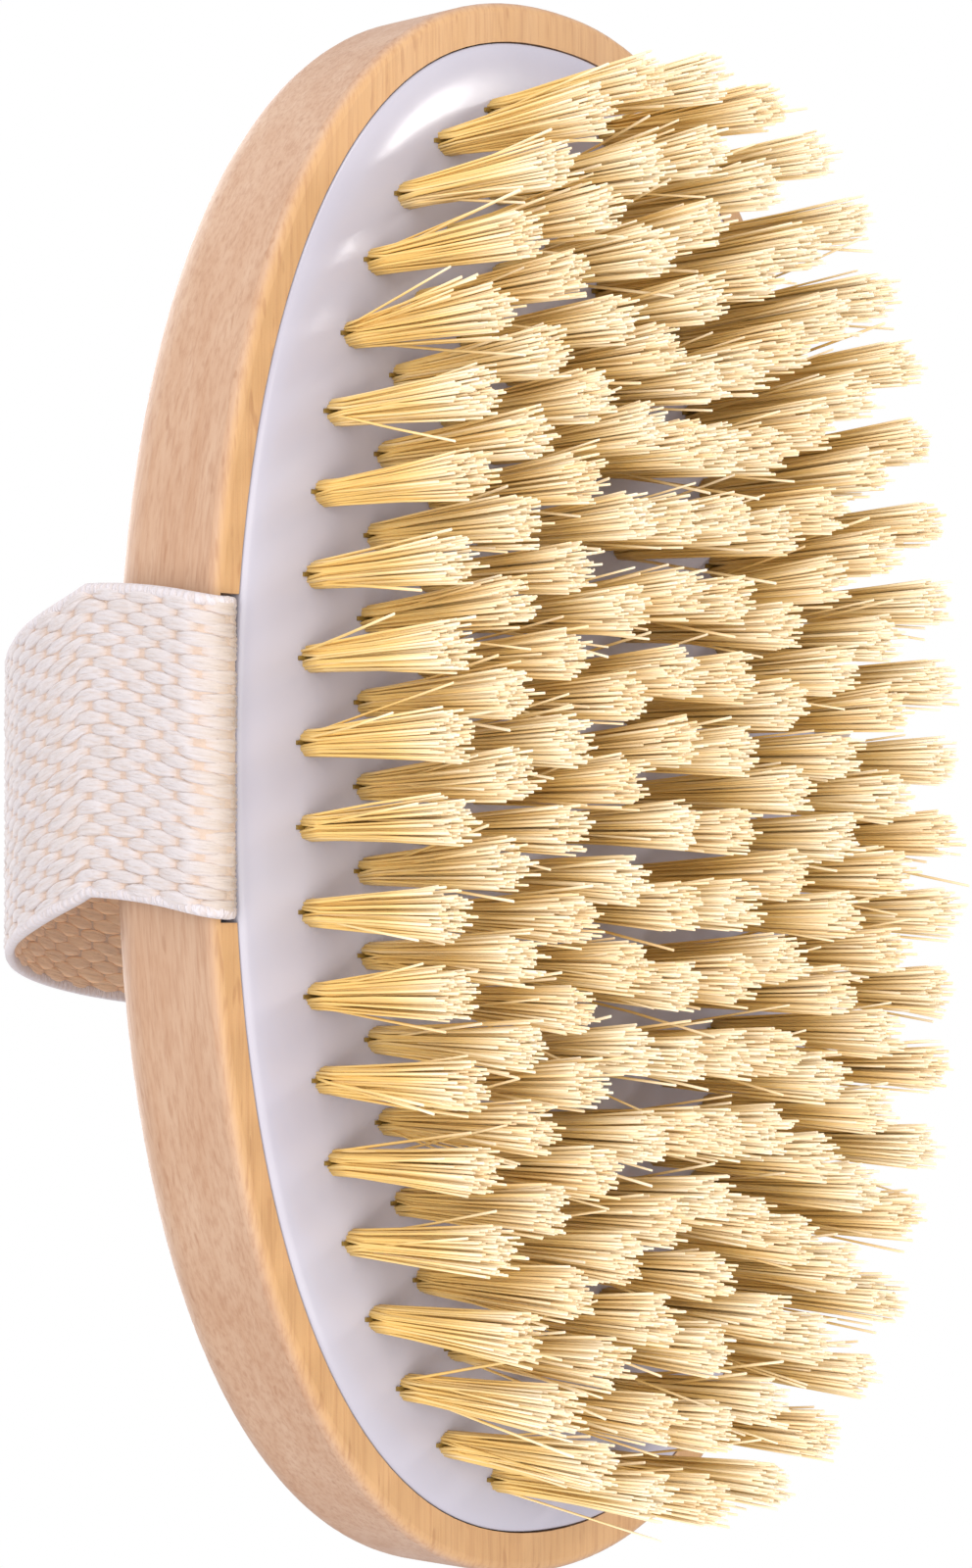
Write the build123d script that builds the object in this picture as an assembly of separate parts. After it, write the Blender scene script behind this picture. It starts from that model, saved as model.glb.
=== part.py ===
from build123d import *
import os
from math import cos, hypot, pi, sin

# Oval body brush, lying on its bristle tips, in millimetres.
# +X runs along the oval, +Y to its right side, +Z from the bristle tips up to the hand strap.
# The origin is the middle of the face made by the bristle tips.

# Wood block
BODY_LENGTH = 131.0
BODY_WIDTH = 74.0
BODY_THICKNESS = 14.5
BODY_POWER = 2.22          # 2 is an ellipse; more is a fuller oval
BACK_ROUND = 5.0
ARRIS_ROUND = 0.9
POCKET_DEPTH = 6.0

# Moulded plate that holds the tufts
RIM_AT_END = 3.5           # wood left showing round the plate
RIM_AT_SIDE = 2.7
PLATE_POWER = 2.24
PLATE_PROUD = 1.0          # height of the plate's flat above the wooden rim
PLATE_EDGE_DROP = 0.15     # plate's edge below the wooden rim
SHOULDER_WIDTH = 3.4       # rounded border between edge and flat
SHOULDER_STEPS = 6
PLATE_GAP = 0.15
GLUE_THICKNESS = 0.4
GLUE_INSET = 1.5

# Bristle tufts
TUFT_LENGTH = 19.2         # bristle showing, from plate to tip
TUFT_BASE = 2.3
TUFT_TIP = 4.2
TUFT_ROOT = 4.0            # folded end inside its hole
HOLE_CLEARANCE = 0.05
HOLE_EXTRA_DEPTH = 0.3
RING_COUNT = 5
RING_MARGIN_END = 4.7      # from the plate's edge to the outermost tuft centres
RING_MARGIN_SIDE = 6.9
RING_CORE_WIDTH = 6.4      # across the innermost ring of tuft centres
RING_POWER = 2.26
RING_OFFSET = -0.8         # the pattern of tufts sits this far along the oval from its middle
TUFT_PITCH = 6.65
TUFT_SPREAD = 0.058        # how much wider the tips stand than the roots, across the brush

# Flat wire anchor driven through each tuft, its ends biting into the plate
WIRE_BITE = 0.3
WIRE_THICKNESS = 0.35
WIRE_DEPTH = 2.0
WIRE_PROUD = 0.25

# Cotton webbing hand strap
STRAP_WIDTH = 25.0
STRAP_THICKNESS = 1.8
STRAP_TUCK_THICKNESS = 1.2  # pressed thinner where it is glued in
STRAP_GAP = 0.12
STRAP_EDGE_GAP = 0.3
STRAP_SIDE_HEIGHT = 13.5   # straight run up the side of the wood
STRAP_CROWN_HEIGHT = 46.2  # from the wooden rim to the top of the loop
STRAP_POWER = 2.1
STRAP_SKEW = 1.2           # each end sits this far from the middle, on opposite sides
STRAP_SWAY = 2.4           # the loop's flanks bow out this much further
STRAP_LEAN = 7.0           # the top of the loop leans this far towards -X
STRAP_TAIL = 13.0
STRAP_BEND = 2.0
STRAP_SEAM_BEND = 1.0
STRAP_SECTIONS = 16

# Wire staples that hold the strap's tails
STAPLE_CROWN = 9.0
STAPLE_LEG = 5.0
STAPLE_WIRE = 0.5
STAPLE_MARGIN = 2.0        # from the staple to the strap's edge
STAPLE_CLEARANCE = 0.02
STAPLE_INSET = 6.0         # from the pocket's wall
TAIL_HOLE_CLEARANCE = 0.15

OVAL_POINTS = 32
ARC_STEPS = 1440

# Heights that follow from the sizes above
PLATE_Z = TUFT_LENGTH
RIM_Z = PLATE_Z + PLATE_PROUD
BACK_Z = RIM_Z + BODY_THICKNESS
FLOOR_Z = RIM_Z + POCKET_DEPTH
PLATE_LENGTH = BODY_LENGTH - 2 * RIM_AT_END
PLATE_WIDTH = BODY_WIDTH - 2 * RIM_AT_SIDE
POCKET_WALL_Y = PLATE_WIDTH / 2 + PLATE_GAP
NOTCH_WALL_Y = POCKET_WALL_Y + STRAP_TUCK_THICKNESS + STRAP_GAP
TAIL_END_Y = POCKET_WALL_Y - STRAP_TAIL
HOLE_RADIUS = TUFT_BASE / 2 + HOLE_CLEARANCE
RING_LENGTH = PLATE_LENGTH - 2 * RING_MARGIN_END
RING_WIDTH = PLATE_WIDTH - 2 * RING_MARGIN_SIDE
RING_SPACING = (RING_WIDTH - RING_CORE_WIDTH) / 2 / (RING_COUNT - 1)
STAPLE_PITCH = STRAP_WIDTH - STAPLE_CROWN - 2 * STAPLE_MARGIN
RECESS_DEPTH = STRAP_TUCK_THICKNESS + STRAP_GAP + STAPLE_WIRE
SIDES = {"left": -1, "right": 1}


def signed_power(value, power):
    sign = 1 if value >= 0 else -1
    return sign * abs(value) ** power


def oval_point(length, width, power, angle):
    x = length / 2 * signed_power(cos(angle), 2 / power)
    y = width / 2 * signed_power(sin(angle), 2 / power)
    return x, y


def oval(length, width, power, z):
    """Filled oval at height z."""
    angles = [2 * pi * (i + 0.5) / OVAL_POINTS for i in range(OVAL_POINTS)]
    points = [(*oval_point(length, width, power, angle), z) for angle in angles]
    return make_face(Spline(points, periodic=True))


def rising_prism(face, height):
    return extrude(face, amount=height, dir=(0, 0, 1))


def strap_x(side):
    """Middle of the strap's width where it crosses the rim on one side."""
    return -side * STRAP_SKEW


def ring_points(ring):
    """Tuft centres of one ring, evenly spaced along its oval.

    Each ring has a tuft at both ends of the oval. At its sides, a ring has a tuft on the middle
    line or straddles it, in turn, so that neighbouring rings are staggered.
    """
    length = RING_LENGTH - 2 * RING_SPACING * ring
    width = RING_WIDTH - 2 * RING_SPACING * ring
    outline = [
        oval_point(length, width, RING_POWER, pi / 2 + 2 * pi * i / ARC_STEPS)
        for i in range(ARC_STEPS + 1)
    ]
    travelled = [0.0]
    for before, after in zip(outline, outline[1:]):
        travelled.append(travelled[-1] + hypot(after[0] - before[0], after[1] - before[1]))
    straddles = ring % 2 == 0
    spare = 2 if straddles else 0
    start = 0.5 if straddles else 0.0
    count = 4 * round((travelled[-1] / TUFT_PITCH - spare) / 4) + spare
    pitch = travelled[-1] / count
    points = []
    step = 0
    for i in range(count):
        target = (i + start) * pitch
        while travelled[step + 1] < target:
            step += 1
        share = (target - travelled[step]) / (travelled[step + 1] - travelled[step])
        x = outline[step][0] + share * (outline[step + 1][0] - outline[step][0])
        y = outline[step][1] + share * (outline[step + 1][1] - outline[step][1])
        points.append((x + RING_OFFSET, y))
    return points


def on_side(points, side):
    """Points left or right of the brush's middle; those on the middle line go left."""
    return [point for point in points if (point[1] > 0.01) == (side > 0)]


def tuft(x, y):
    """One bundle of bristles: straight root in its hole, then a fan out to the tips."""
    root = Pos(x, y, PLATE_Z) * Cylinder(
        TUFT_BASE / 2, TUFT_ROOT, align=(Align.CENTER, Align.CENTER, Align.MIN)
    )
    base = Pos(x, y, PLATE_Z) * Circle(TUFT_BASE / 2)
    tip = Pos(x, y * (1 + TUFT_SPREAD), 0) * Circle(TUFT_TIP / 2)
    return loft([tip, base]) + root


def wire(x, y):
    """Flat anchor wire across the brush, its edge just proud of the plate's flat."""
    length = 2 * (HOLE_RADIUS + WIRE_BITE)
    middle = PLATE_Z - WIRE_PROUD + WIRE_DEPTH / 2
    return Pos(x, y, middle) * Box(WIRE_THICKNESS, length, WIRE_DEPTH)


def tuft_hole(x, y):
    return Pos(x, y, PLATE_Z) * Cylinder(
        HOLE_RADIUS, TUFT_ROOT + HOLE_EXTRA_DEPTH, align=(Align.CENTER, Align.CENTER, Align.MIN)
    )


def plate():
    """Moulded plate: straight sides in the pocket, rounded shoulder, flat with tuft holes."""
    edge_z = RIM_Z + PLATE_EDGE_DROP
    back_z = FLOOR_Z - GLUE_THICKNESS
    slab = rising_prism(oval(PLATE_LENGTH, PLATE_WIDTH, PLATE_POWER, edge_z), back_z - edge_z)
    rise = edge_z - PLATE_Z
    sections = []
    for step in range(SHOULDER_STEPS + 1):
        turn = pi / 2 * step / SHOULDER_STEPS
        inset = SHOULDER_WIDTH * (1 - cos(turn))
        height = edge_z - rise * sin(turn)
        sections.append(
            oval(PLATE_LENGTH - 2 * inset, PLATE_WIDTH - 2 * inset, PLATE_POWER, height)
        )
    body = slab + loft(sections, ruled=True)
    return body - [tuft_hole(x, y) for ring in range(RING_COUNT) for x, y in ring_points(ring)]


def glue():
    """Sheet of adhesive between the plate's back and the pocket's floor."""
    face = oval(
        PLATE_LENGTH - 2 * GLUE_INSET, PLATE_WIDTH - 2 * GLUE_INSET, PLATE_POWER,
        FLOOR_Z - GLUE_THICKNESS,
    )
    return rising_prism(face, GLUE_THICKNESS)


def strap_notch(side):
    """Room in the wood for one tucked end: down the pocket's wall and along its floor."""
    width = STRAP_WIDTH + 2 * STRAP_EDGE_GAP
    inner_y = TAIL_END_Y - STRAP_EDGE_GAP
    depth = NOTCH_WALL_Y - inner_y
    return Pos(strap_x(side), side * (inner_y + NOTCH_WALL_Y) / 2, RIM_Z) * Box(
        width, depth, POCKET_DEPTH + RECESS_DEPTH, align=(Align.CENTER, Align.CENTER, Align.MIN)
    )


def staple(side, index, clearance=0.0):
    """Wire staple, its crown on the tail and its legs up into the wood."""
    x = strap_x(side) + (index - 0.5) * STAPLE_PITCH
    y = side * (POCKET_WALL_Y - STAPLE_INSET)
    thick = STAPLE_WIRE + 2 * clearance
    crown = Pos(x, y, FLOOR_Z + STAPLE_WIRE / 2) * Box(
        STAPLE_CROWN + 2 * clearance, thick, thick
    )
    leg_length = STAPLE_LEG + STAPLE_WIRE + clearance
    shape = crown
    for end in (-1, 1):
        leg_x = x + end * (STAPLE_CROWN - STAPLE_WIRE) / 2
        leg = Pos(leg_x, y, FLOOR_Z) * Box(
            thick, thick, leg_length, align=(Align.CENTER, Align.CENTER, Align.MIN)
        )
        shape = shape + leg
    return shape


def wood_body():
    """Oval beech block: rounded back, softened front arris, pocket for plate and strap ends."""
    block = rising_prism(oval(BODY_LENGTH, BODY_WIDTH, BODY_POWER, RIM_Z), BODY_THICKNESS)
    block = fillet(block.edges().group_by(Axis.Z)[-1], BACK_ROUND)
    block = fillet(block.edges().group_by(Axis.Z)[0], ARRIS_ROUND)
    pocket = rising_prism(
        oval(PLATE_LENGTH + 2 * PLATE_GAP, PLATE_WIDTH + 2 * PLATE_GAP, PLATE_POWER, RIM_Z),
        POCKET_DEPTH,
    )
    block = block - pocket
    for side in SIDES.values():
        block = block - strap_notch(side)
        for index in (0, 1):
            block = block - staple(side, index, STAPLE_CLEARANCE)
    return block


def strap_fold(side):
    """One end of the strap: tail under the plate, up the pocket wall, round the rim, up the side."""
    leg_y = POCKET_WALL_Y + STRAP_TUCK_THICKNESS
    side_y = BODY_WIDTH / 2 + STRAP_GAP
    outer_y = side_y + STRAP_THICKNESS
    rim_z = RIM_Z - STRAP_GAP
    outer_z = rim_z - STRAP_THICKNESS
    top_z = RIM_Z + STRAP_SIDE_HEIGHT
    tail_z = FLOOR_Z + STAPLE_WIRE
    tail_top_z = tail_z + STRAP_TUCK_THICKNESS
    outline = [
        (TAIL_END_Y, tail_z),
        (POCKET_WALL_Y, tail_z),
        (POCKET_WALL_Y, outer_z),
        (outer_y, outer_z),
        (outer_y, top_z),
        (side_y, top_z),
        (side_y, rim_z),
        (leg_y, rim_z),
        (leg_y, tail_top_z),
        (TAIL_END_Y, tail_top_z),
    ]
    x = strap_x(side)
    points = [(x - STRAP_WIDTH / 2, side * y, z) for y, z in outline]
    fold = extrude(make_face(Polyline(*points, close=True)), amount=STRAP_WIDTH, dir=(1, 0, 0))
    fold = fillet(low_edge(fold, max), STRAP_BEND)
    return fillet(low_edge(fold, min), STRAP_SEAM_BEND)


def low_edge(fold, choose):
    """The lowest edge across the strap that is furthest out (max) or furthest in (min)."""
    low_edges = fold.edges().filter_by(Axis.X).group_by(Axis.Z)[0]
    return choose(low_edges, key=lambda edge: abs(edge.center().Y))


def strap_loop():
    """Free loop over the back, from one side of the wood to the other."""
    half_y = BODY_WIDTH / 2 + STRAP_GAP + STRAP_THICKNESS
    low_z = RIM_Z + STRAP_SIDE_HEIGHT
    rise = STRAP_CROWN_HEIGHT - STRAP_SIDE_HEIGHT
    sections = []
    for i in range(STRAP_SECTIONS + 1):
        angle = pi * i / STRAP_SECTIONS
        y = -half_y * signed_power(cos(angle), 2 / STRAP_POWER)
        climb = signed_power(sin(angle), 2 / STRAP_POWER)
        normal_y = signed_power(y / half_y, STRAP_POWER - 1) / half_y
        normal_z = climb ** (STRAP_POWER - 1) / rise
        size = hypot(normal_y, normal_z)
        normal_y /= size
        normal_z /= size
        sway = STRAP_SWAY * (1 - (1 - climb) ** 3)
        x = -(STRAP_SKEW + sway) * y / half_y - STRAP_LEAN * climb
        centre = (
            x,
            y - normal_y * STRAP_THICKNESS / 2,
            low_z + rise * climb - normal_z * STRAP_THICKNESS / 2,
        )
        along = (0, normal_z, -normal_y)
        sections.append(Plane(centre, x_dir=(1, 0, 0), z_dir=along) * Rectangle(
            STRAP_WIDTH, STRAP_THICKNESS
        ))
    return loft(sections)


def hand_strap():
    """One length of webbing: two tucked ends and the loop between them."""
    strap = strap_loop()
    for side in SIDES.values():
        strap = strap + strap_fold(side)
        for index in (0, 1):
            strap = strap - staple(side, index, TAIL_HOLE_CLEARANCE)
    return strap


def save(shape, node):
    export_step(shape, f"parts/{node}.step")


def group(solids):
    return Compound(children=[Solid(solid.solid().wrapped) for solid in solids])


os.makedirs("parts", exist_ok=True)
save(wood_body(), "wood_body")
save(plate(), "bristle_plate")
save(glue(), "plate_adhesive")
save(hand_strap(), "hand_strap")
for side_name, side in SIDES.items():
    for index in (0, 1):
        save(staple(side, index), f"strap_staple_{side_name}_{index + 1}")
    for ring in range(RING_COUNT):
        places = on_side(ring_points(ring), side)
        save(group([tuft(x, y) for x, y in places]), f"bristle_tufts_ring_{ring + 1}_{side_name}")
        save(group([wire(x, y) for x, y in places]), f"anchor_wires_ring_{ring + 1}_{side_name}")
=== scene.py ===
import random
from math import cos, pi, radians, sin, sqrt

import bmesh
import bpy
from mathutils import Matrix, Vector


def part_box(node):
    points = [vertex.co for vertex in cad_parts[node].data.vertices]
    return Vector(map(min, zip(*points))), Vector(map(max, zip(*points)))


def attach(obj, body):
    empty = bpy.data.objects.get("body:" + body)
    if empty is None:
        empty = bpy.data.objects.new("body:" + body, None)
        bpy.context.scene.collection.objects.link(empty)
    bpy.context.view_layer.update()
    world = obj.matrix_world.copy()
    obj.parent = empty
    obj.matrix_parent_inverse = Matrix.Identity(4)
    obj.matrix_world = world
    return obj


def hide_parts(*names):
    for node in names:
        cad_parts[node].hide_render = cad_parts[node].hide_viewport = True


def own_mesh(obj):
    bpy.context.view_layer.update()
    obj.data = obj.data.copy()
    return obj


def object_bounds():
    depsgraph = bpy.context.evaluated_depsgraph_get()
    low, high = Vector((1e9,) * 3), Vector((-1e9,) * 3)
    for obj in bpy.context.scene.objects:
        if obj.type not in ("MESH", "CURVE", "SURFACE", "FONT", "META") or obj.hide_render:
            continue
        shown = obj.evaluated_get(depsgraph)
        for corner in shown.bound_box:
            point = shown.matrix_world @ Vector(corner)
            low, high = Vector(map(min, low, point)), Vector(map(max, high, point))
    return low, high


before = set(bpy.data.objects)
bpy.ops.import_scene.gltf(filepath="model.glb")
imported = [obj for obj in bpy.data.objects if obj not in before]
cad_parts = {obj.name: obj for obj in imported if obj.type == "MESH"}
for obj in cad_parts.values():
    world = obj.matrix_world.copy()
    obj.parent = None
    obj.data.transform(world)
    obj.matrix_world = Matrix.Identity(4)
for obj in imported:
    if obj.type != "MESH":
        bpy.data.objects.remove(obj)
cad_low, cad_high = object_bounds()
MM = 0.001


# ---------------------------------------------------------------------------------------------
# Studio: not part of the brush. The brush stands on its bristle tips and is seen from its left
# side and from below, so the floor shows only from above and lets light and sight through.
# ---------------------------------------------------------------------------------------------
def placed(name, data):
    """Puts a mesh, light or camera into the scene as an object at the origin."""
    made = bpy.data.objects.new(name, data)
    bpy.context.scene.collection.objects.link(made)
    return made


def mesh_of(bm, name):
    """Hands a finished bmesh over to a new mesh."""
    mesh = bpy.data.meshes.new(name)
    bm.to_mesh(mesh)
    bm.free()
    return mesh


camera_data = bpy.data.cameras.new("camera")
camera_data.lens = 92.2
camera_data.clip_start = 0.01
camera = placed("camera", camera_data)
camera.location = (-0.01185, -0.23836, -0.21651)
camera.rotation_euler = (radians(-177.84), radians(44.335), radians(90.205))
bpy.context.scene.camera = camera
bpy.context.scene.view_settings.view_transform = "Standard"

FLOOR_SIZE = 6.0
floor_bm = bmesh.new()
bmesh.ops.create_grid(floor_bm, x_segments=1, y_segments=1, size=FLOOR_SIZE / 2)
floor = placed("floor", mesh_of(floor_bm, "floor"))
floor.visible_shadow = False
floor.visible_diffuse = False
floor.visible_glossy = False
floor.visible_transmission = False

floor_paint = bpy.data.materials.new("pale_floor")
floor_paint.use_nodes = True
floor_nodes = floor_paint.node_tree.nodes
floor_links = floor_paint.node_tree.links
floor_shader = floor_nodes["Principled BSDF"]
floor_shader.inputs["Base Color"].default_value = (0.86, 0.86, 0.86, 1)
floor_shader.inputs["Roughness"].default_value = 0.9
see_through = floor_nodes.new("ShaderNodeBsdfTransparent")
which_side = floor_nodes.new("ShaderNodeNewGeometry")
floor_mix = floor_nodes.new("ShaderNodeMixShader")
floor_links.new(which_side.outputs["Backfacing"], floor_mix.inputs[0])
floor_links.new(floor_shader.outputs[0], floor_mix.inputs[1])
floor_links.new(see_through.outputs[0], floor_mix.inputs[2])
floor_links.new(floor_mix.outputs[0], floor_nodes["Material Output"].inputs["Surface"])
floor.data.materials.append(floor_paint)

world = bpy.data.worlds.new("studio")
world.use_nodes = True
sky = world.node_tree.nodes["Background"]
sky.inputs["Color"].default_value = (0.93, 0.91, 1.0, 1)
sky.inputs["Strength"].default_value = 0.85
backdrop = world.node_tree.nodes.new("ShaderNodeBackground")
backdrop.inputs["Color"].default_value = (1, 1, 1, 1)
seen_directly = world.node_tree.nodes.new("ShaderNodeLightPath")
sky_mix = world.node_tree.nodes.new("ShaderNodeMixShader")
world.node_tree.links.new(seen_directly.outputs["Is Camera Ray"], sky_mix.inputs[0])
world.node_tree.links.new(sky.outputs[0], sky_mix.inputs[1])
world.node_tree.links.new(backdrop.outputs[0], sky_mix.inputs[2])
world.node_tree.links.new(sky_mix.outputs[0], world.node_tree.nodes["World Output"].inputs[0])
bpy.context.scene.world = world


def softbox(name, place, size, watts, colour):
    """Square soft light at a place in metres, turned to face the brush."""
    light = bpy.data.lights.new(name, "AREA")
    light.size = size
    light.energy = watts
    light.color = colour
    lamp = placed(name, light)
    lamp.location = place
    middle = (cad_low + cad_high) / 2
    lamp.rotation_euler = (middle - Vector(place)).to_track_quat("-Z", "Y").to_euler()


softbox("key", (0.31, 0.46, -0.64), 0.12, 1.8, (1.0, 0.97, 0.93))
softbox("side", (0.68, -0.34, -0.10), 0.40, 1.8, (1.0, 0.98, 0.95))
softbox("front", (-0.15, -0.62, -0.62), 1.20, 12.5, (1.0, 0.98, 0.95))
softbox("top", (0.15, 0.10, 0.75), 0.70, 5.0, (1.0, 0.98, 0.96))


# ---------------------------------------------------------------------------------------------
# Wooden body: one oval beech block, sanded and left bare, with the grain along its length.
# Its back is rounded over and its front arris eased; a pocket in its front takes the plate.
# ---------------------------------------------------------------------------------------------
class Field:
    """One value or colour in a material. Python's operators on it add the nodes they need."""

    def __init__(self, finish, socket):
        self.finish = finish
        self.socket = socket

    def maths(self, operation, *others):
        inputs = dict(enumerate((self, *others)))
        return self.finish.node("Math", {"operation": operation}, inputs)

    def __add__(self, other):
        return self.maths("ADD", other)

    def __radd__(self, other):
        return self.maths("ADD", other)

    def __sub__(self, other):
        return self.maths("SUBTRACT", other)

    def __rsub__(self, other):
        return self.finish.node("Math", {"operation": "SUBTRACT"}, {0: other, 1: self})

    def __mul__(self, other):
        return self.maths("MULTIPLY", other)

    def __rmul__(self, other):
        return self.maths("MULTIPLY", other)

    def sine(self):
        return self.maths("SINE")

    def clipped(self, low, high):
        """0 below low, 1 above high, and a straight ramp between."""
        inputs = {"Value": self, 1: low, 2: high, 3: 0.0, 4: 1.0}
        return self.finish.node("MapRange", {"clamp": True}, inputs)


class Finish:
    """A procedural material: its nodes, its shader, and the shader's fixed values."""

    def __init__(self, name, **fixed):
        self.material = bpy.data.materials.new(name)
        self.material.use_nodes = True
        self.tree = self.material.node_tree
        self.shader = self.tree.nodes["Principled BSDF"]
        for socket, value in fixed.items():
            self.shader.inputs[socket.replace("_", " ")].default_value = value

    def node(self, kind, settings=None, inputs=None, output=0):
        """Adds one node, with its settings first, then its inputs, and returns one output."""
        made = self.tree.nodes.new("ShaderNode" + kind)
        for name, value in (settings or {}).items():
            if name == "stops":
                ramp = made.color_ramp
                while len(ramp.elements) < len(value):
                    ramp.elements.new(1.0)
                for element, (position, colour) in zip(ramp.elements, value):
                    element.position = position
                    element.color = (*colour, 1)
            else:
                setattr(made, name, value)
        for name, value in (inputs or {}).items():
            if isinstance(value, Field):
                self.tree.links.new(value.socket, made.inputs[name])
            else:
                made.inputs[name].default_value = value
        return Field(self, made.outputs[output])

    def place(self, scale=(1, 1, 1), turn=(0, 0, 0), source="Object"):
        """Coordinates in metres, scaled and turned about the origin."""
        where = self.node("TexCoord", output=source)
        return self.node("Mapping", {}, {"Vector": where, "Rotation": turn, "Scale": scale})

    def noise(self, detail=2.0, rough=0.5, **place):
        """Cloudy pattern; its scale gives blotches per metre along x, y and z."""
        inputs = {"Vector": self.place(**place), "Scale": 1.0, "Detail": detail, "Roughness": rough}
        return self.node("TexNoise", {}, inputs)

    def mix(self, share, a, b, blend="MIX"):
        settings = {"data_type": "RGBA", "blend_type": blend}
        return self.node("Mix", settings, {0: share, 6: a, 7: b}, output=2)

    def attribute(self, name):
        return self.node("Attribute", {"attribute_name": name}, output="Fac")

    def facing_front(self):
        """1 on faces that look along -z, where the bristles are, and -1 on the back; the wood and
        webbing finishes paint shade with it.
        """
        normal = self.node("NewGeometry", output="Normal")
        return self.node("SeparateXYZ", {}, {0: normal}, output=2) * -1.0

    def bump(self, height, distance, strength=1.0):
        inputs = {"Height": height, "Distance": distance, "Strength": strength}
        self.feed("Normal", self.node("Bump", {}, inputs))

    def feed(self, socket, value):
        self.tree.links.new(value.socket, self.shader.inputs[socket])


def srgb(red, green, blue):
    """Colour given as 0 to 255 display values, as linear light with alpha."""
    channels = []
    for value in (red, green, blue):
        share = value / 255
        linear = share / 12.92 if share <= 0.04045 else ((share + 0.055) / 1.055) ** 2.4
        channels.append(linear)
    return (*channels, 1)


def wood_finish():
    wood = Finish("bare_beech", Roughness=0.5, Specular_IOR_Level=0.3)
    board = wood.noise(2.0, scale=(14, 60, 60))
    streak = wood.noise(4.0, 0.6, scale=(30, 420, 420))
    fibre = wood.noise(3.0, 0.65, scale=(90, 2600, 2600))
    ray = wood.noise(1.0, scale=(260, 1500, 1500))
    tone = board * 0.35 + streak * 0.45 + fibre * 0.2
    light = srgb(190, 160, 133)
    dark = srgb(170, 131, 100)
    colour = wood.mix(tone.clipped(0.33, 0.68), light, dark)
    # Painted shade: faces that look along -z, the rim round the plate, get a darker, more saturated
    # beech colour for how light falls there.
    front = wood.facing_front().clipped(0.45, 0.95)
    colour = wood.mix(front * 0.75, colour, srgb(190, 150, 101))
    fleck = ray.clipped(0.66, 0.74)
    colour = wood.mix(fleck * 0.35, colour, srgb(142, 98, 66))
    line = fibre.clipped(0.46, 0.70) * 0.34
    colour = wood.mix(line, colour, srgb(146, 102, 72))
    wood.feed("Base Color", colour)
    wood.feed("Roughness", streak * 0.16 + 0.42)
    wood.bump(fibre * 0.6 + streak * 0.4, 0.00012, 0.5)
    return wood.material


def coat(node, material):
    """Gives a CAD node its finish."""
    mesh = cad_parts[node].data
    mesh.materials.clear()
    mesh.materials.append(material)


beech = wood_finish()
coat("wood_body", beech)


# ---------------------------------------------------------------------------------------------
# Bristle plate: one injection-moulded white plate with a rounded shoulder and blind tuft
# holes. It sits in the wood's pocket, on a thin layer of adhesive, and stands a little proud.
# ---------------------------------------------------------------------------------------------
PLATE_POWER = 2.24
PLATE_SIDES = 288
SHOULDER_WIDTH = 5.6 * MM
SHOULDER_RISE = 1.15 * MM
SHOULDER_STEPS = 16


def rounded(value, power):
    """Signed power, which turns a circle's coordinates into a squarer oval's."""
    return (1 if value > 0 else -1) * abs(value) ** power


def plate_finish():
    plate = Finish("white_moulding", Roughness=0.3, Specular_IOR_Level=0.5)
    cloud = plate.noise(scale=(60, 60, 60))
    speck = plate.noise(3.0, 0.6, scale=(900, 900, 900))
    colour = plate.mix(cloud.clipped(0.3, 0.7), srgb(172, 170, 179), srgb(167, 164, 174))
    plate.feed("Base Color", colour)
    plate.feed("Roughness", speck * 0.14 + 0.14)
    plate.bump(cloud * 0.9 + speck * 0.1, 0.00004, 0.25)
    return plate.material


def glue_finish():
    glue = Finish("clear_adhesive", Roughness=0.4)
    cloud = glue.noise(scale=(200, 200, 200)).clipped(0.3, 0.7)
    glue.feed("Base Color", glue.mix(cloud, srgb(226, 220, 200), srgb(208, 200, 176)))
    return glue.material


def extruded(bm, edges, carried):
    """Extrudes a loop of edges and carries each vertex's value over to its copy."""
    made = bmesh.ops.extrude_edge_only(bm, edges=edges)["geom"]
    fresh_edges = [item for item in made if isinstance(item, bmesh.types.BMEdge)]
    fresh = [item for item in made if isinstance(item, bmesh.types.BMVert)]
    known = {tuple(vertex.co): value for vertex, value in carried.items()}
    return fresh_edges, {vertex: known[tuple(vertex.co)] for vertex in fresh}


def plate_mesh(low, high):
    """Closed plate: straight sides, then a quarter-ellipse shoulder rising to the flat."""
    half_length = (high.x - low.x) / 2
    half_width = (high.y - low.y) / 2
    edge_z = low.z + SHOULDER_RISE
    rings = [(0.0, high.z), (0.0, edge_z)]
    for step in range(1, SHOULDER_STEPS + 1):
        turn = pi / 2 * step / SHOULDER_STEPS
        rings.append((SHOULDER_WIDTH * (1 - cos(turn)), edge_z - SHOULDER_RISE * sin(turn)))
    bm = bmesh.new()
    bmesh.ops.create_circle(bm, cap_ends=False, segments=PLATE_SIDES, radius=1.0)
    turns = {vertex: vertex.co.copy() for vertex in bm.verts}
    back_edges = list(bm.edges)
    edges = back_edges
    for i, (inset, z) in enumerate(rings):
        if i:
            edges, turns = extruded(bm, edges, turns)
        for vertex, turn in turns.items():
            x = rounded(turn.x, 2 / PLATE_POWER) * (half_length - inset)
            vertex.co = (x, rounded(turn.y, 2 / PLATE_POWER) * (half_width - inset), z)
    bmesh.ops.holes_fill(bm, edges=back_edges + edges, sides=0)
    bmesh.ops.recalc_face_normals(bm, faces=bm.faces)
    for face in bm.faces:
        face.smooth = face.calc_center_median().z < edge_z
    return mesh_of(bm, "plate")


plate_low, plate_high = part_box("bristle_plate")
plate = placed("moulded_plate", plate_mesh(plate_low, plate_high))
plate.data.materials.append(plate_finish())
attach(plate, "brush")
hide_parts("bristle_plate")
coat("plate_adhesive", glue_finish())


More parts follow.
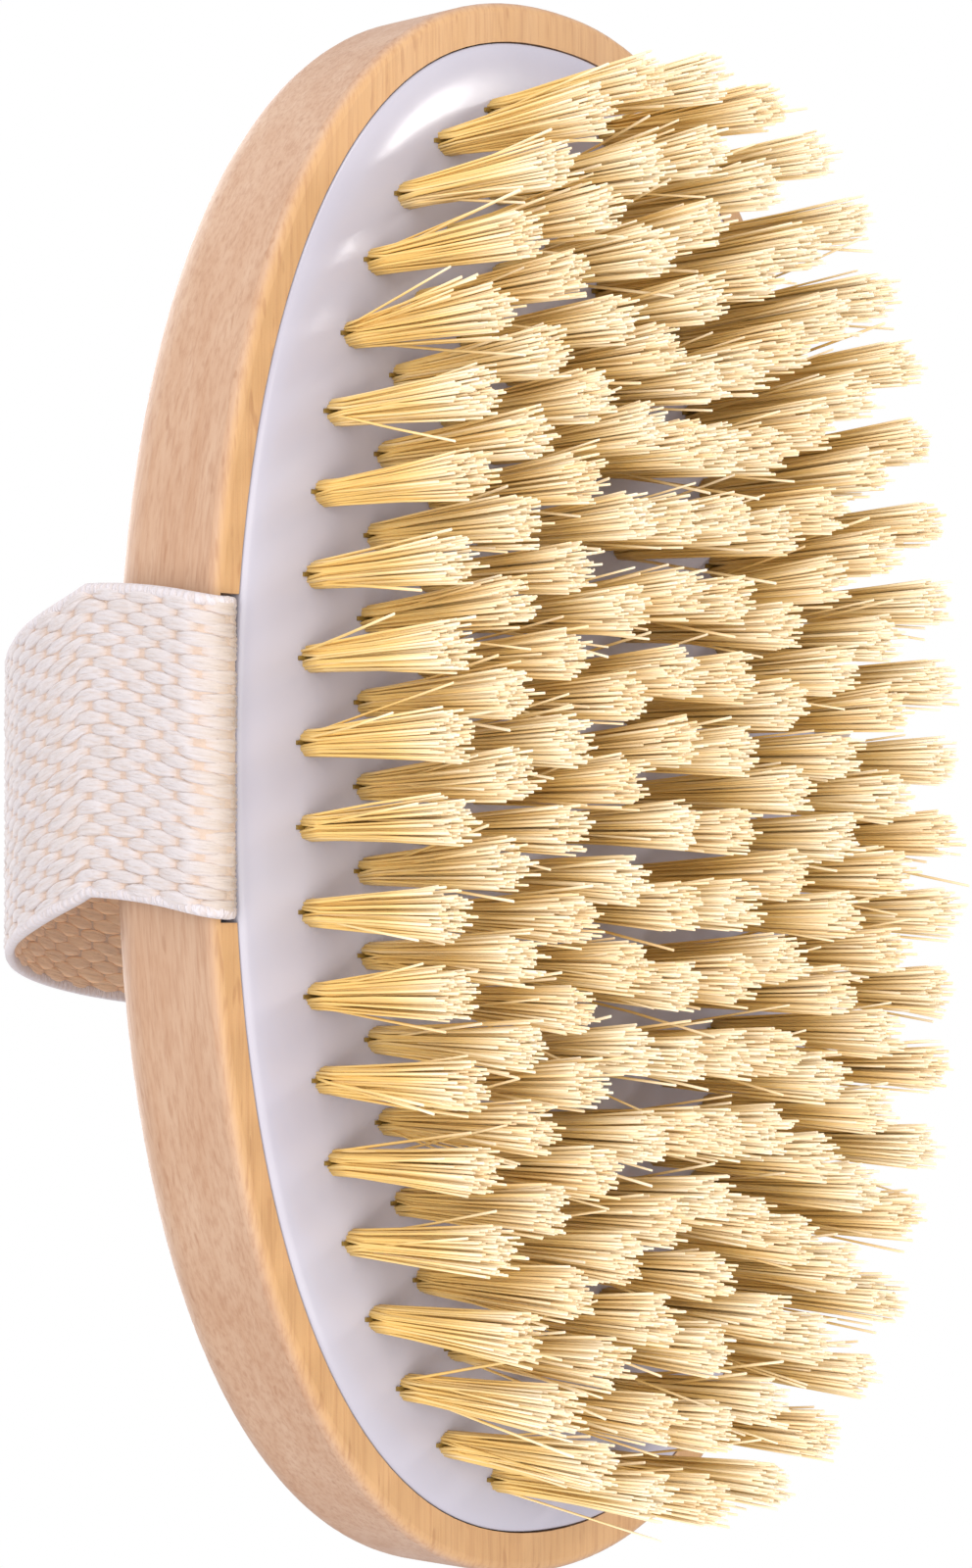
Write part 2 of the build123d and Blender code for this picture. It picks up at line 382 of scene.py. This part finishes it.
# ---------------------------------------------------------------------------------------------
# Anchors: flat dull wire, cut and driven across each tuft by the filling machine, so that the
# bristles stand in two lobes either side of it.
# ---------------------------------------------------------------------------------------------
def wire_finish():
    wire = Finish("dull_flat_wire", Metallic=0.7, Roughness=0.5)
    drawn = wire.noise(3.0, scale=(4000, 300, 4000))
    colour = wire.mix(drawn.clipped(0.3, 0.7), srgb(170, 142, 72), srgb(122, 98, 48))
    wire.feed("Base Color", colour)
    wire.feed("Roughness", drawn * 0.3 + 0.35)
    wire.bump(drawn, 0.00002, 0.5)
    return wire.material


flat_wire = wire_finish()
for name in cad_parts:
    if name.startswith("anchor_wires"):
        coat(name, flat_wire)


# ---------------------------------------------------------------------------------------------
# Staples: thin round steel wire, driven through the strap's tails into the pocket's floor.
# ---------------------------------------------------------------------------------------------
def staple_finish():
    steel = Finish("staple_steel", Metallic=1.0, Roughness=0.35)
    drawn = steel.noise(scale=(1500, 1500, 1500))
    colour = steel.mix(drawn.clipped(0.3, 0.7), srgb(190, 190, 194), srgb(160, 160, 166))
    steel.feed("Base Color", colour)
    steel.feed("Roughness", drawn * 0.2 + 0.28)
    return steel.material


staple_steel = staple_finish()
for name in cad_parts:
    if name.startswith("strap_staple"):
        coat(name, staple_steel)


# ---------------------------------------------------------------------------------------------
# Bristles: pale natural bristle, about sixty to a tuft, folded over the anchor in the hole.
# They leave the plate in two lobes and fan out to cut ends of uneven length, some of them stray.
# ---------------------------------------------------------------------------------------------
BRISTLE_ENDS = 112
BRISTLE_RADIUS = 0.128 * MM
BRISTLE_SIDES = 5
BRISTLE_CUTS = (0.15, 0.55)
ROOT_SUNK = 0.5 * MM
LOBE_GAP = 0.24 * MM
LOBE_END = 0.15
TIP_UNEVEN = 3.2 * MM
TIP_MOST = 1.1 * MM
TIP_LONG = 0.8 * MM
LONG_SHARE = 0.16
TIP_SPREAD_LOW = -0.45 * MM
TIP_SPREAD_HIGH = 0.05 * MM
TIP_WANDER = 0.22 * MM
BOW_MOST = 0.10
BOW_WITH_WANDER = 0.3
STRAY_SHARE = 0.05
STRAY_REACH = 1.6 * MM
STRAY_LIFT = 3.0 * MM
TUFT_DRIFT_ALONG = 0.28 * MM
TUFT_DRIFT_ACROSS = 0.2 * MM
TUFT_TONE = 0.12
BRISTLE_TONE = 0.16
GOLDEN_ANGLE = pi * (3 - sqrt(5))

plate_face_z = plate_low.z


def bristle_pattern():
    """One straight five-sided bristle from z 0 to 1, of radius 1, with cuts where it bends."""
    bm = bmesh.new()
    bmesh.ops.create_cone(
        bm, cap_ends=True, segments=BRISTLE_SIDES, radius1=1.0, radius2=0.9, depth=1.0
    )
    bmesh.ops.translate(bm, verts=bm.verts, vec=(0, 0, 0.5))
    for cut in BRISTLE_CUTS:
        bmesh.ops.bisect_plane(
            bm, geom=bm.verts[:] + bm.edges[:] + bm.faces[:],
            plane_co=(0, 0, cut), plane_no=(0, 0, 1),
        )
    for face in bm.faces:
        face.smooth = abs(face.normal.z) < 0.5
    return mesh_of(bm, "bristle_pattern")


def tuft_places(node):
    """Root centre, tip centre and radii of each tuft in a CAD node, from its loose parts."""
    bm = bmesh.new()
    bm.from_mesh(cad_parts[node].data)
    bmesh.ops.remove_doubles(bm, verts=bm.verts, dist=0.000001)
    waiting = set(bm.verts)
    places = []
    while waiting:
        front = [waiting.pop()]
        island = []
        while front:
            vertex = front.pop()
            island.append(vertex)
            for edge in vertex.link_edges:
                other = edge.other_vert(vertex)
                if other in waiting:
                    waiting.remove(other)
                    front.append(other)
        places.append(tuft_shape(island))
    bm.free()
    return sorted(places, key=lambda place: (round(place[0].x, 5), round(place[0].y, 5)))


def tuft_shape(island):
    """Middle and radius of a tuft's root and tip, from its highest and lowest rings."""
    low_z = min(vertex.co.z for vertex in island)
    high_z = max(vertex.co.z for vertex in island)
    ends = []
    for level in (high_z, low_z):
        ring = [vertex.co for vertex in island if abs(vertex.co.z - level) < 0.00001]
        low = Vector((min(p.x for p in ring), min(p.y for p in ring), level))
        high = Vector((max(p.x for p in ring), max(p.y for p in ring), level))
        ends.append(((low + high) / 2, (high.x - low.x) / 2))
    (root, root_radius), (tip, tip_radius) = ends
    return root, root_radius, tip, tip_radius


def add_bristle(bm, pattern, tone_layer, along_layer, root, tip, bow, lobe, radius, tone):
    """One bristle from root to tip, moved by lobe at its root and by bow at its middle."""
    before = len(bm.verts)
    bm.from_mesh(pattern)
    bm.verts.ensure_lookup_table()
    for vertex in bm.verts[before:]:
        along = vertex.co.z
        centre = root.lerp(tip, along) + bow * (4 * along * (1 - along))
        centre += lobe * max(0.0, 1 - along / LOBE_END)
        vertex.co = centre + Vector((vertex.co.x, vertex.co.y, 0)) * radius
        vertex[tone_layer] = tone
        vertex[along_layer] = along


def tuft_mesh(pattern, place, dice):
    """The bristles of one tuft."""
    root_centre, root_radius, tip_centre, tip_radius = place
    bm = bmesh.new()
    tone_layer = bm.verts.layers.float.new("tone")
    along_layer = bm.verts.layers.float.new("along")
    tuft_tone = dice.uniform(-TUFT_TONE, TUFT_TONE)
    spin = dice.uniform(0, 2 * pi)
    drift = Vector((dice.gauss(0, TUFT_DRIFT_ALONG), dice.gauss(0, TUFT_DRIFT_ACROSS), 0))
    for i in range(BRISTLE_ENDS):
        share = sqrt((i + 0.5) / BRISTLE_ENDS)
        angle = spin + i * GOLDEN_ANGLE
        side = Vector((cos(angle) * share, sin(angle) * share, 0))
        root = Vector((root_centre.x, root_centre.y, plate_face_z + ROOT_SUNK))
        root += side * (root_radius - BRISTLE_RADIUS)
        lobe_side = LOBE_GAP if side.x > 0 else -LOBE_GAP
        lobe = Vector(((1 - abs(side.x)) * lobe_side, 0, 0))
        spread = side * (tip_radius + dice.uniform(TIP_SPREAD_LOW, TIP_SPREAD_HIGH))
        wander = Vector((dice.gauss(0, TIP_WANDER), dice.gauss(0, TIP_WANDER), 0))
        tip = tip_centre + drift + spread + wander
        tip.z = dice.triangular(TIP_LONG, TIP_UNEVEN, TIP_MOST)
        if dice.random() < LONG_SHARE:
            tip.z = dice.uniform(0, TIP_LONG)
        bow = -spread * dice.uniform(0.0, BOW_MOST) + wander * BOW_WITH_WANDER
        if dice.random() < STRAY_SHARE:
            tip += Vector((dice.gauss(0, STRAY_REACH), dice.gauss(0, STRAY_REACH), 0))
            tip.z += dice.uniform(0, STRAY_LIFT)
        radius = BRISTLE_RADIUS * dice.uniform(0.8, 1.12)
        tone = 0.5 + tuft_tone + dice.gauss(0, BRISTLE_TONE)
        add_bristle(bm, pattern, tone_layer, along_layer, root, tip, bow, lobe, radius, tone)
    return mesh_of(bm, "tuft")


def bristle_finish():
    bristle = Finish("pale_bristle", Roughness=0.42, Specular_IOR_Level=0.4)
    along = bristle.attribute("along")
    tone = bristle.attribute("tone")
    # Painted shade: the colour runs to a deeper, more saturated gold towards the root, standing in
    # for the shade and warm bounce light deep in the tufts; it pales towards the cut tips.
    depth = bristle.node("ValToRGB", {"stops": [
        (0.0, srgb(234, 200, 124)[:3]),
        (0.3, srgb(238, 205, 128)[:3]),
        (0.65, srgb(236, 208, 142)[:3]),
        (1.0, srgb(236, 225, 200)[:3]),
    ]}, {0: along})
    colour = bristle.mix((1 - tone).clipped(0.2, 0.9) * 0.5, depth, srgb(226, 178, 84))
    colour = bristle.mix(tone.clipped(0.6, 1.0) * 0.5, colour, srgb(247, 228, 192))
    streak = bristle.noise(2.0, scale=(3000, 3000, 160))
    colour = bristle.mix(streak.clipped(0.55, 0.8) * 0.22, colour, srgb(204, 166, 98))
    bristle.feed("Base Color", colour)
    bristle.feed("Roughness", streak * 0.2 + 0.35)
    return bristle.material


pattern = bristle_pattern()
pale_bristle = bristle_finish()
for node in sorted(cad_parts):
    if not node.startswith("bristle_tufts"):
        continue
    dice = random.Random(node)
    ring_bm = bmesh.new()
    for place in tuft_places(node):
        tuft = tuft_mesh(pattern, place, dice)
        ring_bm.from_mesh(tuft)
        bpy.data.meshes.remove(tuft)
    ring = placed(node + "_bristles", mesh_of(ring_bm, node + "_bristles"))
    ring.data.materials.append(pale_bristle)
    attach(ring, "brush")
    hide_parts(node)
bpy.data.meshes.remove(pattern)


# ---------------------------------------------------------------------------------------------
# Hand strap: one length of undyed cotton webbing, 25 mm wide, held under the plate at both
# ends. Its visible run comes out at the seam, turns over the rim and loops over the back.
# ---------------------------------------------------------------------------------------------
STRAP_WIDTH = 25 * MM
TUCK_Y = 35.05 * MM
TUCK_TOP_Z = 22.0 * MM
TAIL_Z = 27.3 * MM
TAIL_END_Y = 21.5 * MM
TUCK_SQUEEZE = 0.62
RIM_MIDDLE_Z = 19.18 * MM
SIDE_Y = 38.02 * MM
LOOP_LOW_Z = 33.7 * MM
LOOP_RISE = 31.8 * MM
LOOP_POWER = 2.1
SKEW_RISE = 17.0 * MM
SEAM_RADIUS = 0.9 * MM
RIM_RADIUS = 1.9 * MM
SEAM_SKEW = 1.2 * MM
LOOP_SKEW = 3.0 * MM
LEAN = 7.0 * MM
LEAN_POWER = 0.8
STATION_GAP = 0.6 * MM
TURN_STEPS = 6
SIDE_STEPS = 8
LOOP_STEPS = 96
SQUEEZE_RUN = 1.5 * MM
CORE_SIDES = 20
CORE_BLUNT = 0.5
EDGE_SIDES = 12
CORE_HALF = 0.46 * MM
EDGE_HALF_WIDTH = 0.50 * MM
EDGE_HALF_HEIGHT = 0.66 * MM
FLOAT_PITCH = 4.3 * MM
FLOAT_LENGTH = 5.0 * MM
FLOAT_WIDTH = 1.16 * MM
FLOAT_HEIGHT = 0.48 * MM
FLOAT_DIVE = 0.30 * MM
FLOAT_SLANT = 0.03
FLOAT_SHIFT = 0.05 * MM
FLOAT_SUNK = 0.86
GROOVE_DEPTH = 0.55
GROOVE_HALF_WIDTH = 0.3
PLUMPNESS = 0.12
ROWS = 27
ROW_STARTS = (0.8, 0.3)
ROW_WOBBLE = 0.2 * MM
EDGE_LAP = 1.6
TAIL_INSET = 0.2 * MM
RIDGE_PITCH = 0.8 * MM


def strap_outline():
    """Middle of the visible webbing's thickness from one seam to the other: (y, z, climb)."""
    near = [(-TUCK_Y, TUCK_TOP_Z, 0.0)]
    for step in range(TURN_STEPS + 1):
        turn = pi / 2 * step / TURN_STEPS
        y = -TUCK_Y - SEAM_RADIUS * (1 - cos(turn))
        near.append((y, RIM_MIDDLE_Z + SEAM_RADIUS * (1 - sin(turn)), 0.0))
    for step in range(TURN_STEPS + 1):
        turn = pi / 2 * step / TURN_STEPS
        y = -SIDE_Y + RIM_RADIUS * (1 - sin(turn))
        near.append((y, RIM_MIDDLE_Z + RIM_RADIUS * (1 - cos(turn)), 0.0))
    side_low_z = RIM_MIDDLE_Z + RIM_RADIUS
    for step in range(1, SIDE_STEPS):
        share = step / SIDE_STEPS
        near.append((-SIDE_Y, side_low_z + (LOOP_LOW_Z - side_low_z) * share, 0.0))
    loop = []
    for step in range(LOOP_STEPS + 1):
        angle = pi * step / LOOP_STEPS
        sideways = rounded(cos(angle), 2 / LOOP_POWER)
        climb = max(sin(angle), 0.0) ** (2 / LOOP_POWER)
        loop.append((-SIDE_Y * sideways, LOOP_LOW_Z + LOOP_RISE * climb, climb))
    far = [(-y, z, climb) for y, z, climb in reversed(near)]
    return near + loop + far


class Ribbon:
    """A path for webbing: evenly spaced stations, each a middle and an outward normal."""

    def __init__(self, points):
        lengths = [0.0]
        for before, after in zip(points, points[1:]):
            lengths.append(lengths[-1] + (after - before).length)
        self.length = lengths[-1]
        self.steps = round(self.length / STATION_GAP)
        middles = []
        index = 0
        for i in range(self.steps + 1):
            target = self.length * i / self.steps
            while index < len(points) - 2 and lengths[index + 1] < target:
                index += 1
            share = (target - lengths[index]) / (lengths[index + 1] - lengths[index])
            middles.append(points[index].lerp(points[index + 1], share))
        self.stations = []
        for i, middle in enumerate(middles):
            along = middles[min(i + 1, self.steps)] - middles[max(i - 1, 0)]
            normal = Vector((0.0, -along.z, along.y)).normalized()
            depth = (TUCK_Y + SQUEEZE_RUN - abs(middle.y)) / SQUEEZE_RUN
            squeeze = 1 - (1 - TUCK_SQUEEZE) * max(0.0, min(1.0, depth))
            self.stations.append((middle, normal, squeeze))

    def at(self, run, across, height):
        """Point at a distance along, a distance across and a height above the middle."""
        step = max(0.0, min(1.0, run / self.length)) * self.steps
        index = min(int(step), self.steps - 1)
        middle, normal, squeeze = self.stations[index]
        next_middle, next_normal, next_squeeze = self.stations[index + 1]
        share = step - index
        out = normal.lerp(next_normal, share).normalized()
        height *= squeeze + (next_squeeze - squeeze) * share
        return middle.lerp(next_middle, share) + Vector((across, 0, 0)) + out * height


def swept(bm, ribbon, across, half_width, half_height, sides, blunt):
    """Sweeps a rounded section along a ribbon and closes its ends."""
    cloth = bm.verts.layers.float_vector["cloth"]
    ring = bmesh.ops.create_circle(bm, cap_ends=False, segments=sides, radius=1.0)["verts"]
    shape = {}
    for vertex in ring:
        wide = rounded(vertex.co.x, blunt) * half_width
        shape[vertex] = (wide, rounded(vertex.co.y, blunt * 0.6) * half_height)
    edges = list({edge for vertex in ring for edge in vertex.link_edges})
    first_edges = edges
    for i in range(ribbon.steps + 1):
        run = ribbon.length * i / ribbon.steps
        if i:
            edges, shape = extruded(bm, edges, shape)
        for vertex, (wide, high) in shape.items():
            vertex.co = ribbon.at(run, across + wide, high)
            vertex[cloth] = (run, across + wide, 0.5)
    bmesh.ops.holes_fill(bm, edges=first_edges + edges, sides=0)


def webbing_mesh(ribbon, sections):
    """Closed sweeps along one ribbon, one for each (across, half width, half height, ...)."""
    bm = bmesh.new()
    bm.verts.layers.float_vector.new("cloth")
    for section in sections:
        swept(bm, ribbon, *section)
    bmesh.ops.recalc_face_normals(bm, faces=bm.faces)
    for face in bm.faces:
        face.smooth = len(face.verts) == 4
    return mesh_of(bm, "webbing")


def float_pattern():
    """One float of warp: a plump lens made of two strands side by side."""
    bm = bmesh.new()
    bmesh.ops.create_uvsphere(bm, u_segments=12, v_segments=8, radius=1.0)
    for vertex in bm.verts:
        across, height, along = vertex.co
        left = max(1 - along * along, 0.0001)
        groove = 1 - GROOVE_DEPTH * max(0.0, 1 - abs(across) / GROOVE_HALF_WIDTH) * left
        plump = left ** -PLUMPNESS
        vertex.co = Vector((along, across * plump, height * groove * plump))
    for face in bm.faces:
        face.smooth = True
    bmesh.ops.recalc_face_normals(bm, faces=bm.faces)
    return mesh_of(bm, "float_pattern")


def strap_floats(ribbon, pattern, side, dice):
    """All floats of one face of the strap; side is 1 for the outer face and -1 for the inner."""
    bm = bmesh.new()
    cloth = bm.verts.layers.float_vector.new("cloth")
    tone_layer = bm.verts.layers.float.new("tone")
    row_gap = (STRAP_WIDTH - EDGE_LAP * EDGE_HALF_WIDTH - FLOAT_WIDTH) / (ROWS - 1)
    for row in range(ROWS):
        row_across = (row - (ROWS - 1) / 2) * row_gap
        run = FLOAT_PITCH * ROW_STARTS[row % 2]
        wobble = dice.uniform(-ROW_WOBBLE, ROW_WOBBLE)
        while run < ribbon.length - FLOAT_PITCH * 0.25:
            length = FLOAT_LENGTH / 2 * dice.uniform(0.92, 1.06)
            width = FLOAT_WIDTH / 2 * dice.uniform(0.9, 1.1)
            height = FLOAT_HEIGHT * dice.uniform(0.82, 1.1)
            slant = dice.gauss(0, FLOAT_SLANT)
            shift = dice.gauss(0, FLOAT_SHIFT)
            tone = dice.random()
            before = len(bm.verts)
            bm.from_mesh(pattern)
            bm.verts.ensure_lookup_table()
            for vertex in bm.verts[before:]:
                along, across, high = vertex.co
                where = run + wobble + along * length
                lateral = row_across + shift + across * width + along * length * slant
                lift = CORE_HALF * FLOAT_SUNK + high * height - along * along * FLOAT_DIVE
                vertex.co = ribbon.at(where, lateral, side * lift)
                # The third value is the float's height share, which the finish uses to paint shade
                # where the float dives.
                vertex[cloth] = (where, lateral, (high + 1) / 2 * (1 - 0.6 * along * along))
                vertex[tone_layer] = tone
            run += FLOAT_PITCH
    if side < 0:
        bmesh.ops.reverse_faces(bm, faces=bm.faces)
    return mesh_of(bm, "strap_floats")


def webbing_finish(name, high_colour, dive_shade_colour):
    """Cotton yarn, with painted shade: darker and warmer where a float dives between its
    neighbours, paler where it stands high, and darker on faces that look along -z.
    """
    yarn = Finish(name, Roughness=0.9, Specular_IOR_Level=0.15, Sheen_Weight=0.2)
    where = yarn.node("Attribute", {"attribute_name": "cloth"}, output="Vector")
    tone = yarn.attribute("tone")
    height = yarn.node("SeparateXYZ", {}, {0: where}, output=2)
    stretched = yarn.node("VectorMath", {"operation": "MULTIPLY"}, {0: where, 1: (600, 4600, 0)})
    strand = yarn.node("TexNoise", {}, {"Vector": stretched, "Detail": 3.0, "Scale": 1.0})
    blotch = yarn.noise(2.0, scale=(220, 220, 220))
    # Painted shade: the dive colour darkens the yarn where a float sinks between its neighbours.
    colour = yarn.mix(height.clipped(0.3, 0.7), dive_shade_colour, high_colour)
    colour = yarn.mix(tone * 0.22, colour, srgb(192, 180, 170))
    colour = yarn.mix(strand.clipped(0.48, 0.7) * 0.4, colour, srgb(178, 156, 138))
    colour = yarn.mix(blotch.clipped(0.5, 0.7) * 0.15, colour, srgb(188, 174, 160))
    # Painted shade: faces that look along -z get a darker cream for how light falls there.
    front = yarn.facing_front().clipped(0.3, 1.0)
    colour = yarn.mix(front * 0.6, colour, srgb(184, 168, 150))
    yarn.feed("Base Color", colour)
    yarn.bump(strand, 0.0002, 0.8)
    return yarn.material


def selvedge_finish():
    """The two edges, where the weft turns back in small cross ridges."""
    yarn = Finish("webbing_edge", Roughness=0.9, Specular_IOR_Level=0.15, Sheen_Weight=0.2)
    where = yarn.node("Attribute", {"attribute_name": "cloth"}, output="Vector")
    run = yarn.node("SeparateXYZ", {}, {0: where}, output=0)
    stretched = yarn.node("VectorMath", {"operation": "MULTIPLY"}, {0: where, 1: (2600, 900, 0)})
    strand = yarn.node("TexNoise", {}, {"Vector": stretched, "Detail": 3.0, "Scale": 1.0})
    ridge = (run * (2 * pi / RIDGE_PITCH) + strand * 14.0).sine() * 0.5 + 0.5
    colour = yarn.mix(ridge.clipped(0.0, 0.5), srgb(196, 186, 182), srgb(200, 194, 195))
    colour = yarn.mix(strand.clipped(0.5, 0.75) * 0.3, colour, srgb(182, 166, 152))
    yarn.feed("Base Color", colour)
    yarn.bump(ridge * 0.7 + strand * 0.6, 0.00016, 0.7)
    return yarn.material


def strap_piece(name, mesh, material, presses=True):
    """One piece of the strap with its finish, hung on the brush; with presses, it gets a mesh of
    its own.
    """
    mesh.materials.append(material)
    piece = placed(name, mesh)
    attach(piece, "brush")
    if presses:
        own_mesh(piece)
    return piece


visible_points = []
for y, z, climb in strap_outline():
    risen = max(0.0, min(1.0, (z - RIM_MIDDLE_Z) / SKEW_RISE))
    skew = SEAM_SKEW + (LOOP_SKEW - SEAM_SKEW) * risen * (2 - risen)
    x = -skew * max(-1.0, min(1.0, y / SIDE_Y)) - LEAN * climb ** LEAN_POWER
    visible_points.append(Vector((x, y, z)))
visible_run = Ribbon(visible_points)
core_finish = webbing_finish("webbing_core", srgb(196, 180, 168), srgb(200, 172, 150))
core_section = (0.0, STRAP_WIDTH / 2 - EDGE_HALF_WIDTH, CORE_HALF, CORE_SIDES, CORE_BLUNT)
core = strap_piece("hand_strap_core", webbing_mesh(visible_run, [core_section]), core_finish)
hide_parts("hand_strap")

edge_across = STRAP_WIDTH / 2 - EDGE_HALF_WIDTH
edge_sections = [
    (edge, EDGE_HALF_WIDTH, EDGE_HALF_HEIGHT, EDGE_SIDES, 1.0)
    for edge in (-edge_across, edge_across)
]
extras = [
    strap_piece("hand_strap_edges", webbing_mesh(visible_run, edge_sections), selvedge_finish())
]

float_shape = float_pattern()
# Painted light: the inner face, the same cotton as the outer, gets brighter, warmer orange colours
# that stand in for light bounced from the wood and lift the shade inside the loop.
faces = (
    ("outer", 1, srgb(198, 192, 191), srgb(200, 172, 150)),
    ("inner", -1, srgb(254, 214, 168), srgb(240, 184, 130)),
)
for face_name, side, high_colour, dive_shade_colour in faces:
    extras.append(strap_piece(
        "hand_strap_floats_" + face_name,
        strap_floats(visible_run, float_shape, side, random.Random(face_name)),
        webbing_finish("webbing_" + face_name, high_colour, dive_shade_colour),
    ))
bpy.data.meshes.remove(float_shape)

tail_section = (0.0, STRAP_WIDTH / 2 - TAIL_INSET, CORE_HALF, CORE_SIDES, CORE_BLUNT)
for tail_name, side in (("left", -1), ("right", 1)):
    tail_points = [
        Vector((-side * SEAM_SKEW, side * y, z)) for y, z in (
            (TUCK_Y, TUCK_TOP_Z - TAIL_INSET),
            (TUCK_Y, TAIL_Z - SEAM_RADIUS),
            (TUCK_Y - SEAM_RADIUS * 0.3, TAIL_Z - SEAM_RADIUS * 0.3),
            (TUCK_Y - SEAM_RADIUS, TAIL_Z),
            (TAIL_END_Y, TAIL_Z),
        )
    ]
    tail = webbing_mesh(Ribbon(tail_points), [tail_section])
    extras.append(strap_piece("hand_strap_tail_" + tail_name, tail, core_finish, presses=False))
